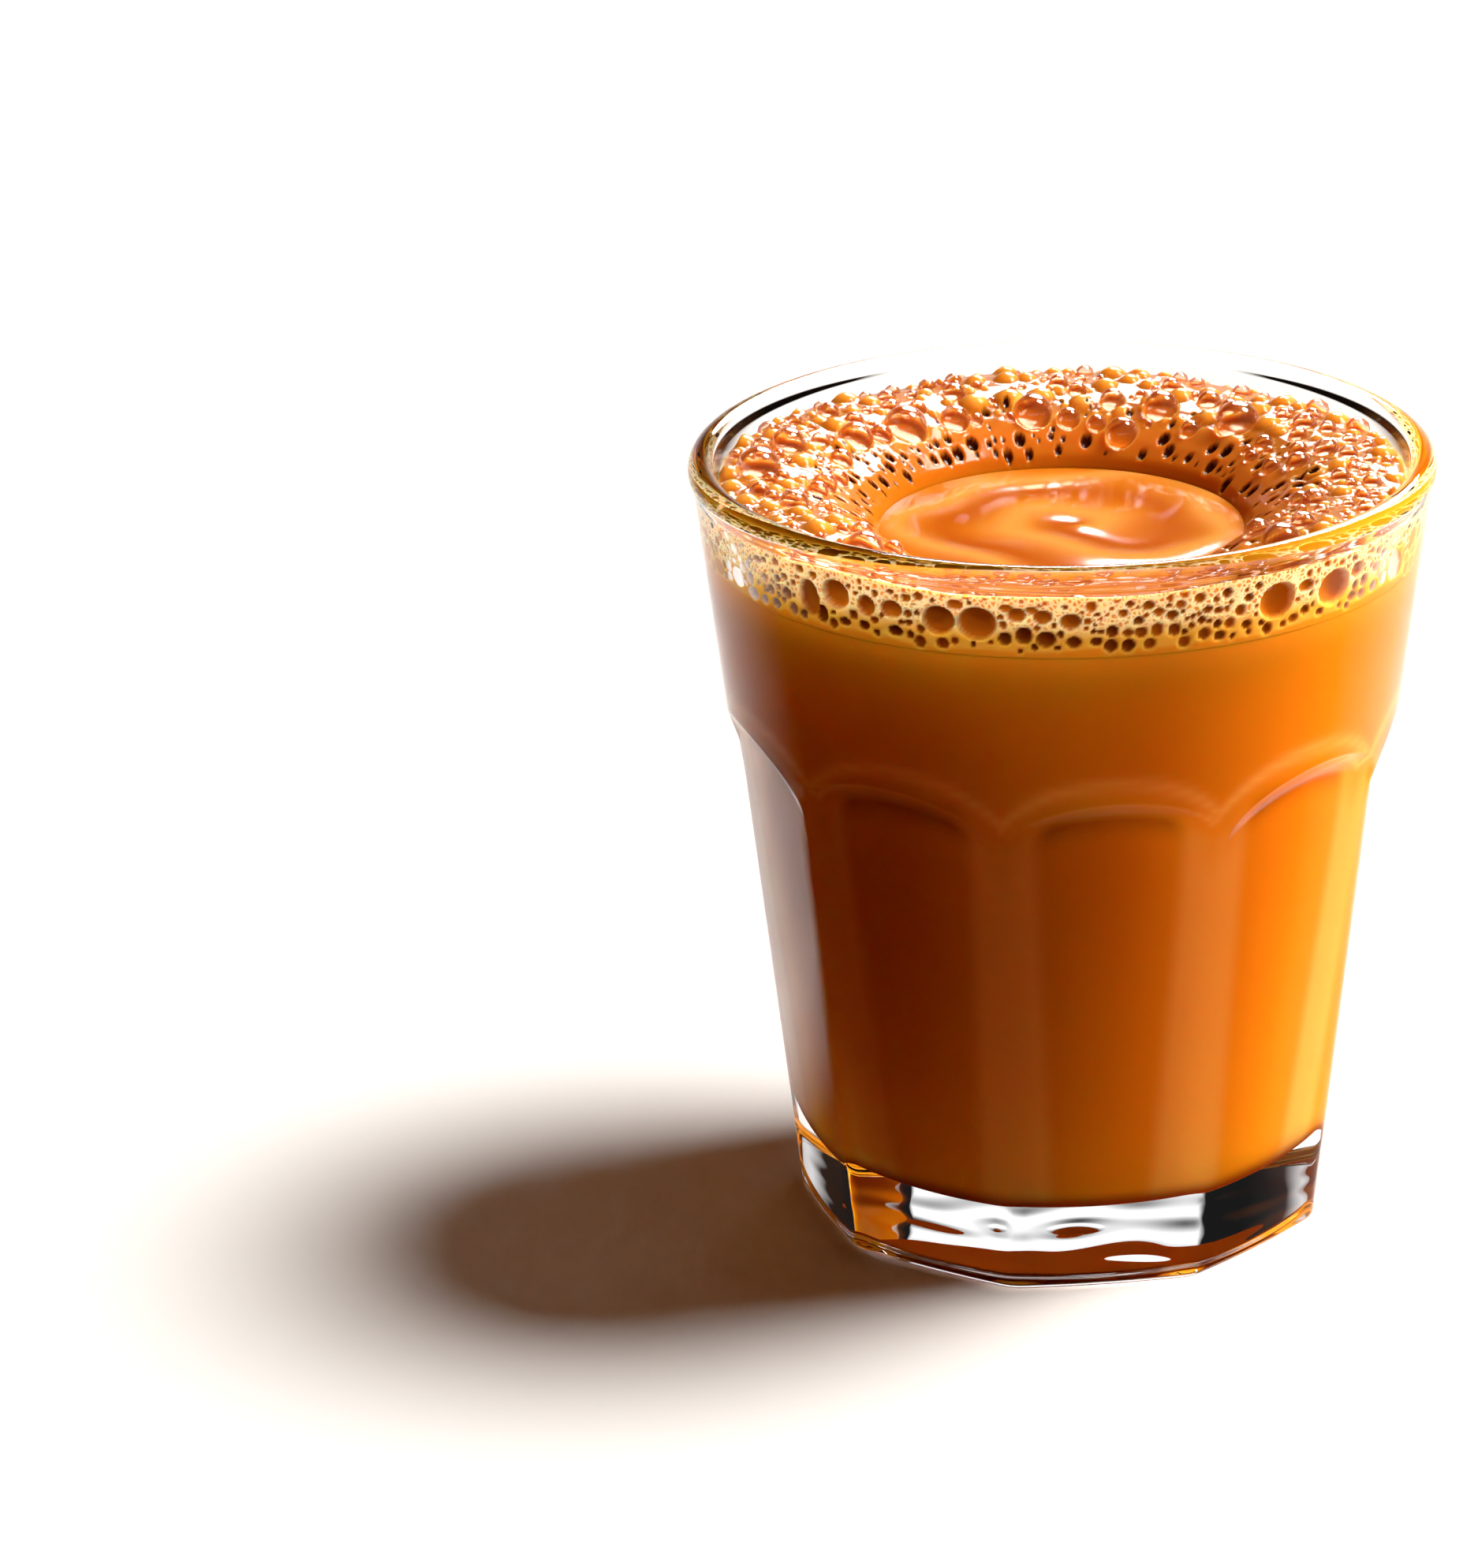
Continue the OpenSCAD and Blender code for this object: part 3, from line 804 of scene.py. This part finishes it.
def milky_tea(name, specular, roughness):
    """Milk in strong tea. Light sinks in by millimetres, and red goes deepest. Behind glass
    it has no gloss of its own; open to the air it has that of water."""
    made, tree = empty_material(name)
    colour = node(tree, "ShaderNodeVertexColor", layer_name="tint")
    depth = node(tree, "ShaderNodeMath", {
        0: colour.outputs["Alpha"], 1: TEA_DEPTH * MM,
    }, operation="MULTIPLY")
    body = node(tree, "ShaderNodeBsdfPrincipled", {
        "Base Color": colour.outputs["Color"], "Roughness": roughness, "Specular IOR Level": specular,
        "IOR": 1.33, "Subsurface Weight": 1.0, "Subsurface Radius": (1.0, 0.35, 0.1),
        "Subsurface Scale": depth,
    })
    finish_material(tree, body)
    return made


# %% [markdown]
# Froth is films of tea round air. They scatter nearly all light and take up little, so it
# glows. The cells that can be counted are shape already. What is left is the finest foam, a
# pattern of cells at its real size, drawn where the tint's alpha asks for it.

# %% Tea froth
FINE_CELL = 0.6
FINE_DEPTH = 0.12


def tea_froth(name, specular, depth):
    """Froth of milky tea. The finest cells are a Voronoi pattern of distances to the nearest
    wall: the walls stay pale, and the hollows sink and turn orange."""
    made, tree = empty_material(name)
    colour = node(tree, "ShaderNodeVertexColor", layer_name="tint")
    place = node(tree, "ShaderNodeTexCoord")
    walls = node(tree, "ShaderNodeTexVoronoi", {
        "Vector": place.outputs["Object"], "Scale": 1 / (FINE_CELL * MM),
    }, feature="DISTANCE_TO_EDGE")
    hollow = node(tree, "ShaderNodeMapRange", {0: walls.outputs["Distance"], 1: 0.08, 2: 0.3})
    share = node(tree, "ShaderNodeMath", {0: hollow, 1: colour.outputs["Alpha"]}, operation="MULTIPLY")
    pattern = node(tree, "ShaderNodeMix", {
        0: share, 6: colour.outputs["Color"], 7: linear("#E8A65C"),
    }, data_type="RGBA", blend_type="MULTIPLY")
    relief = node(tree, "ShaderNodeBump", {
        "Height": share, "Strength": 0.5, "Distance": FINE_DEPTH * MM,
    }, invert=True)
    body = node(tree, "ShaderNodeBsdfPrincipled", {
        "Base Color": pattern.outputs[2], "Normal": relief, "Roughness": 0.12,
        "Specular IOR Level": specular, "IOR": 1.34, "Subsurface Weight": 1.0,
        "Subsurface Radius": (1.0, 0.6, 0.25), "Subsurface Scale": depth * MM,
    })
    finish_material(tree, body)
    return made


# %% Bubble film
FILM_MILK = 0.05


def bubble_film():
    """A film of milky tea round air. It mirrors by Fresnel's law on both its faces, and the
    little milk in it scatters a share of the light."""
    made, tree = empty_material("bubble_film")
    fresnel = node(tree, "ShaderNodeFresnel", {"IOR": 1.33})
    mirrored = node(tree, "ShaderNodeMapRange", {0: fresnel, 1: 0.0, 2: 0.6, 3: 0.04, 4: 0.8})
    clear = node(tree, "ShaderNodeBsdfTransparent", {"Color": linear("#FFF1E0")})
    milk = node(tree, "ShaderNodeBsdfDiffuse", {"Color": linear("#FFC47C")})
    mirror = node(tree, "ShaderNodeBsdfGlossy", {"Color": linear("#FFFFFF"), "Roughness": 0.04})
    film = node(tree, "ShaderNodeMixShader", {0: FILM_MILK, 1: clear, 2: milk})
    body = node(tree, "ShaderNodeMixShader", {0: mirrored, 1: film, 2: mirror})
    finish_material(tree, body)
    return made


# %% Dress each piece
glass.data.materials.append(clear_glass())
tea.data.materials.append(milky_tea("milky_tea_behind_glass", 0.0, 0.6))
tea.data.materials.append(milky_tea("milky_tea_open_pool", 0.1, 0.08))
froth.data.materials.append(tea_froth("tea_froth_open", 0.3, 2.0))
froth.data.materials.append(tea_froth("tea_froth_behind_glass", 0.0, 0.6))
film = bubble_film()
large_films.data.materials.append(film)
small_films.data.materials.append(film)

for piece, node_name, slot in (
    (glass, "glass", "clear_glass"), (tea, "chai", "milky_tea"), (froth, "froth_collar", "froth"),
    (large_films, "froth_bubbles", "bubble_film"), (small_films, "froth_bubbles", "bubble_film"),
):
    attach(piece, "root")
    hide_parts(node_name)
    print(piece.name, "stands for", node_name)

# %% [markdown]
# The camera stands where the photograph was taken from: above, and a little to the left of
# the front panel. It was fitted to the lip and to five corners of the foot. It looks at the
# middle of the glass, and three small turns then bring the glass to its place in the frame.

# %% Camera
VIEW_UP = np.radians(21.38)
DISTANCE = 748.8
PAN, TILT, ROLL = np.radians([-2.892, 0.345, -0.118])
LENS = 150.2
MIDDLE = Vector((0, 0, 45))
to_view = Matrix.Rotation(VIEW_TURN, 3, "Z")
RIGHT = to_view @ Vector((1, 0, 0))
BEHIND = to_view @ Vector((0, 1, 0))
back = to_view @ Vector((0, -np.cos(VIEW_UP), np.sin(VIEW_UP)))
right = RIGHT
up = right.cross(-back)
ahead = -back
ahead, right = ahead * np.cos(PAN) + right * np.sin(PAN), right * np.cos(PAN) - ahead * np.sin(PAN)
ahead, up = ahead * np.cos(TILT) + up * np.sin(TILT), up * np.cos(TILT) - ahead * np.sin(TILT)
right, up = right * np.cos(ROLL) + up * np.sin(ROLL), up * np.cos(ROLL) - right * np.sin(ROLL)
camera = bpy.data.objects.new("camera", bpy.data.cameras.new("camera"))
stands = Matrix.Translation((MIDDLE + DISTANCE * back) * MM)
camera.matrix_world = stands @ Matrix((right, up, -ahead)).transposed().to_4x4()
camera.data.lens = LENS
camera.data.clip_start = 0.01
bpy.context.scene.collection.objects.link(camera)
bpy.context.scene.camera = camera
print("camera", round(DISTANCE), "mm from the middle of the glass")

# %% [markdown]
# The floor and the light, as for a photograph of glass. Glass shows nothing but its
# surroundings, so they are built for it: a white backdrop shows through, and a dark ceiling
# and a dark flag at each side draw its edges. A studio would also put black cards just
# outside the frame. Here they stand where a card would be seen, and only light that the
# glass has bent, or that it mirrors, meets them. Light that has bounced off something matt
# meets a dim brown floor and a weak warm room, or a white studio would bleach the tea.


# %% Which light sees the studio
def seen_directly(tree):
    """1 for a ray that has come from the camera by mirrors and glass alone, else 0."""
    path = node(tree, "ShaderNodeLightPath")
    straight = node(tree, "ShaderNodeMath", {
        0: path.outputs["Is Camera Ray"], 1: path.outputs["Is Glossy Ray"],
    }, operation="MAXIMUM")
    any_way = node(tree, "ShaderNodeMath", {
        0: straight, 1: path.outputs["Is Transmission Ray"],
    }, operation="MAXIMUM")
    undimmed = node(tree, "ShaderNodeMath", {
        0: path.outputs["Diffuse Depth"], 1: 0.5,
    }, operation="LESS_THAN")
    return node(tree, "ShaderNodeMath", {0: any_way, 1: undimmed}, operation="MULTIPLY")


def between(tree, value, low, high, soft):
    """1 where a value lies between low and high, and it falls to 0 over a soft edge outside."""
    rises = node(tree, "ShaderNodeMapRange", {0: value, 1: low - soft, 2: low})
    falls = node(tree, "ShaderNodeMapRange", {0: value, 1: high, 2: high + soft, 3: 1.0, 4: 0.0})
    return node(tree, "ShaderNodeMath", {0: rises, 1: falls}, operation="MULTIPLY")


# %% Floor
# metres: the floor lies a hair under the foot, so that the two surfaces never share a place
FLOOR_SIZE = 6
FLOOR_DROP = 0.00005
# from the middle line to the near and far end of a card, and its soft edge, in metres
CARD_NEAR, CARD_FAR, CARD_EDGE = 0.085, 2.0, 0.02
# the card is a wedge: so far aside for each metre behind the glass
WEDGE_LEAST, WEDGE_MOST, WEDGE_EDGE = 0.1, 0.7, 0.1
bpy.ops.mesh.primitive_plane_add(size=FLOOR_SIZE, location=(0, 0, -FLOOR_DROP))
floor = bpy.context.active_object
floor.name = "floor"
made, tree = empty_material("white_floor")
lit = node(tree, "ShaderNodeBsdfDiffuse", {"Color": linear("#FFFFFF")})
dim = node(tree, "ShaderNodeBsdfDiffuse", {"Color": linear("#6A4A34")})
mixed = node(tree, "ShaderNodeMixShader", {0: seen_directly(tree), 1: dim, 2: lit})
# a black card lies on the floor behind the glass at each side: only light that glass has bent
# shows it, as dark lines in the lip
place = node(tree, "ShaderNodeTexCoord")
beside = node(tree, "ShaderNodeVectorMath", {
    0: place.outputs["Object"], 1: RIGHT,
}, operation="DOT_PRODUCT")
away = node(tree, "ShaderNodeMath", {0: beside.outputs["Value"]}, operation="ABSOLUTE")
behind = node(tree, "ShaderNodeVectorMath", {
    0: place.outputs["Object"], 1: BEHIND,
}, operation="DOT_PRODUCT")
slant = node(tree, "ShaderNodeMath", {0: away, 1: behind.outputs["Value"]}, operation="DIVIDE")
across = between(tree, away, CARD_NEAR, CARD_FAR, CARD_EDGE)
wedge = between(tree, slant, WEDGE_LEAST, WEDGE_MOST, WEDGE_EDGE)
card = node(tree, "ShaderNodeMath", {0: across, 1: wedge}, operation="MULTIPLY")
path = node(tree, "ShaderNodeLightPath")
bent = node(tree, "ShaderNodeMath", {
    0: card, 1: path.outputs["Is Transmission Ray"],
}, operation="MULTIPLY")
black = node(tree, "ShaderNodeBsdfDiffuse", {"Color": linear("#0C0806")})
mixed = node(tree, "ShaderNodeMixShader", {0: bent, 1: mixed, 2: black})
finish_material(tree, mixed)
floor.data.materials.append(made)
print("floor", FLOOR_SIZE, "m wide, cards from", CARD_NEAR, "m beside the middle line")

# %% World
world = bpy.data.worlds.new("studio")
bpy.context.scene.world = world
world.use_nodes = True
tree = world.node_tree
tree.nodes.clear()
fill = node(tree, "ShaderNodeBackground", {"Color": linear("#D8843C"), "Strength": 0.1})
direction = node(tree, "ShaderNodeTexCoord")
height = node(tree, "ShaderNodeSeparateXYZ", {0: direction.outputs["Generated"]})
ceiling = node(tree, "ShaderNodeMapRange", {0: height.outputs["Z"], 1: 0.4, 2: 0.6, 3: 1.0, 4: 0.02})
aside = node(tree, "ShaderNodeVectorMath", {
    0: direction.outputs["Generated"], 1: RIGHT,
}, operation="DOT_PRODUCT")
reach = node(tree, "ShaderNodeMath", {0: aside.outputs["Value"]}, operation="ABSOLUTE")
# a dark flag stands on each side of the white backdrop, with light again beyond it: places are
# 0 straight ahead and 1 straight to the side
sides = node(tree, "ShaderNodeValToRGB", {0: reach})
sides.color_ramp.elements[0].color = linear("#FFFFFF")
for place, grey in ((0.40, 1.0), (0.48, 0.01), (0.72, 0.01), (0.8, 1.0)):
    sides.color_ramp.elements.new(place).color = (grey, grey, grey, 1.0)
dark = node(tree, "ShaderNodeMath", {0: ceiling, 1: sides}, operation="MINIMUM")
# black cards hang over the glass and beside it, which only mirrored light shows
path = node(tree, "ShaderNodeLightPath")
over = node(tree, "ShaderNodeMapRange", {0: height.outputs["Z"], 1: 0.1, 2: 0.3, 3: 1.0, 4: 0.02})
beside = node(tree, "ShaderNodeMapRange", {0: reach, 1: 0.45, 2: 0.6, 3: 1.0, 4: 0.02})
cards = node(tree, "ShaderNodeMath", {0: over, 1: beside}, operation="MINIMUM")
dark = node(tree, "ShaderNodeMix", {0: path.outputs["Is Reflection Ray"], 2: dark, 3: cards})
# the camera itself sees a plain white room
level = node(tree, "ShaderNodeMath", {0: dark, 1: path.outputs["Is Camera Ray"]}, operation="MAXIMUM")
room = node(tree, "ShaderNodeBackground", {"Color": linear("#FFFFFF"), "Strength": level})
mixed = node(tree, "ShaderNodeMixShader", {0: seen_directly(tree), 1: fill, 2: room})
node(tree, "ShaderNodeOutputWorld", {"Surface": mixed})
print("world:", len(tree.nodes), "nodes")

# %% [markdown]
# The lamps. A soft key from the right throws the shadow and lights the tea through the
# glass. A tall strip and a small box add light to the tea at the right, and neither shows in
# the glass. A round box behind the glass shows in mirrored light alone, as glints.


# %% Lamps
def lamp(name, kind, turn, up, away, energy):
    """A lamp at an angle from the middle of the view, positive to the right, and an angle
    above the floor, that shines at the middle of the glass from a distance in metres."""
    made = bpy.data.objects.new(name, bpy.data.lights.new(name, kind))
    a = np.radians(turn - 90) + VIEW_TURN
    e = np.radians(up)
    towards = Vector((np.cos(e) * np.cos(a), np.cos(e) * np.sin(a), np.sin(e)))
    made.location = MIDDLE * MM + away * towards
    made.rotation_euler = towards.to_track_quat("Z", "Y").to_euler()
    made.data.energy = energy
    bpy.context.scene.collection.objects.link(made)
    print(name, "at", turn, "degrees to the right,", up, "up")
    return made


key = lamp("key", "SUN", 108, 57, 1.0, 4.3)
key.data.color = linear("#FFFCF6")[:3]
key.data.angle = np.radians(23)
strip = lamp("strip", "AREA", 100, 17, 0.52, 3.2)
strip.data.shape = "RECTANGLE"
strip.data.size = 0.09
strip.data.size_y = 0.5
front = lamp("front_softbox", "AREA", 58, 6, 0.6, 0.6)
front.data.shape = "RECTANGLE"
front.data.size = 0.2
front.data.size_y = 0.12
sheen = lamp("bubble_softbox", "AREA", 168, 42, 0.5, 9.0)
sheen.data.shape = "DISK"
sheen.data.size = 0.3
sheen.visible_diffuse = False
for box in (strip, front, sheen):
    box.visible_camera = False
    box.visible_transmission = False
for box in (strip, front):
    box.visible_glossy = False

# %% Flags between the boxes and the floor
# a flag would keep these two boxes off the floor, so that the key's shadow stays alone on it
lit_pieces = bpy.data.collections.new("lit_by_the_boxes")
for piece in (glass, tea, froth, large_films, small_films):
    lit_pieces.objects.link(piece)
strip.light_linking.receiver_collection = lit_pieces
front.light_linking.receiver_collection = lit_pieces

# %% [markdown]
# A ray can cross the glass, the tea's skin and several films before it gets out, so it is
# followed for more bounces than usual. A ray that is cut short comes back black.

# %% How far light is followed
bpy.context.scene.view_settings.view_transform = "Standard"
bpy.context.scene.cycles.max_bounces = 24
bpy.context.scene.cycles.transmission_bounces = 20
bpy.context.scene.cycles.transparent_max_bounces = 24
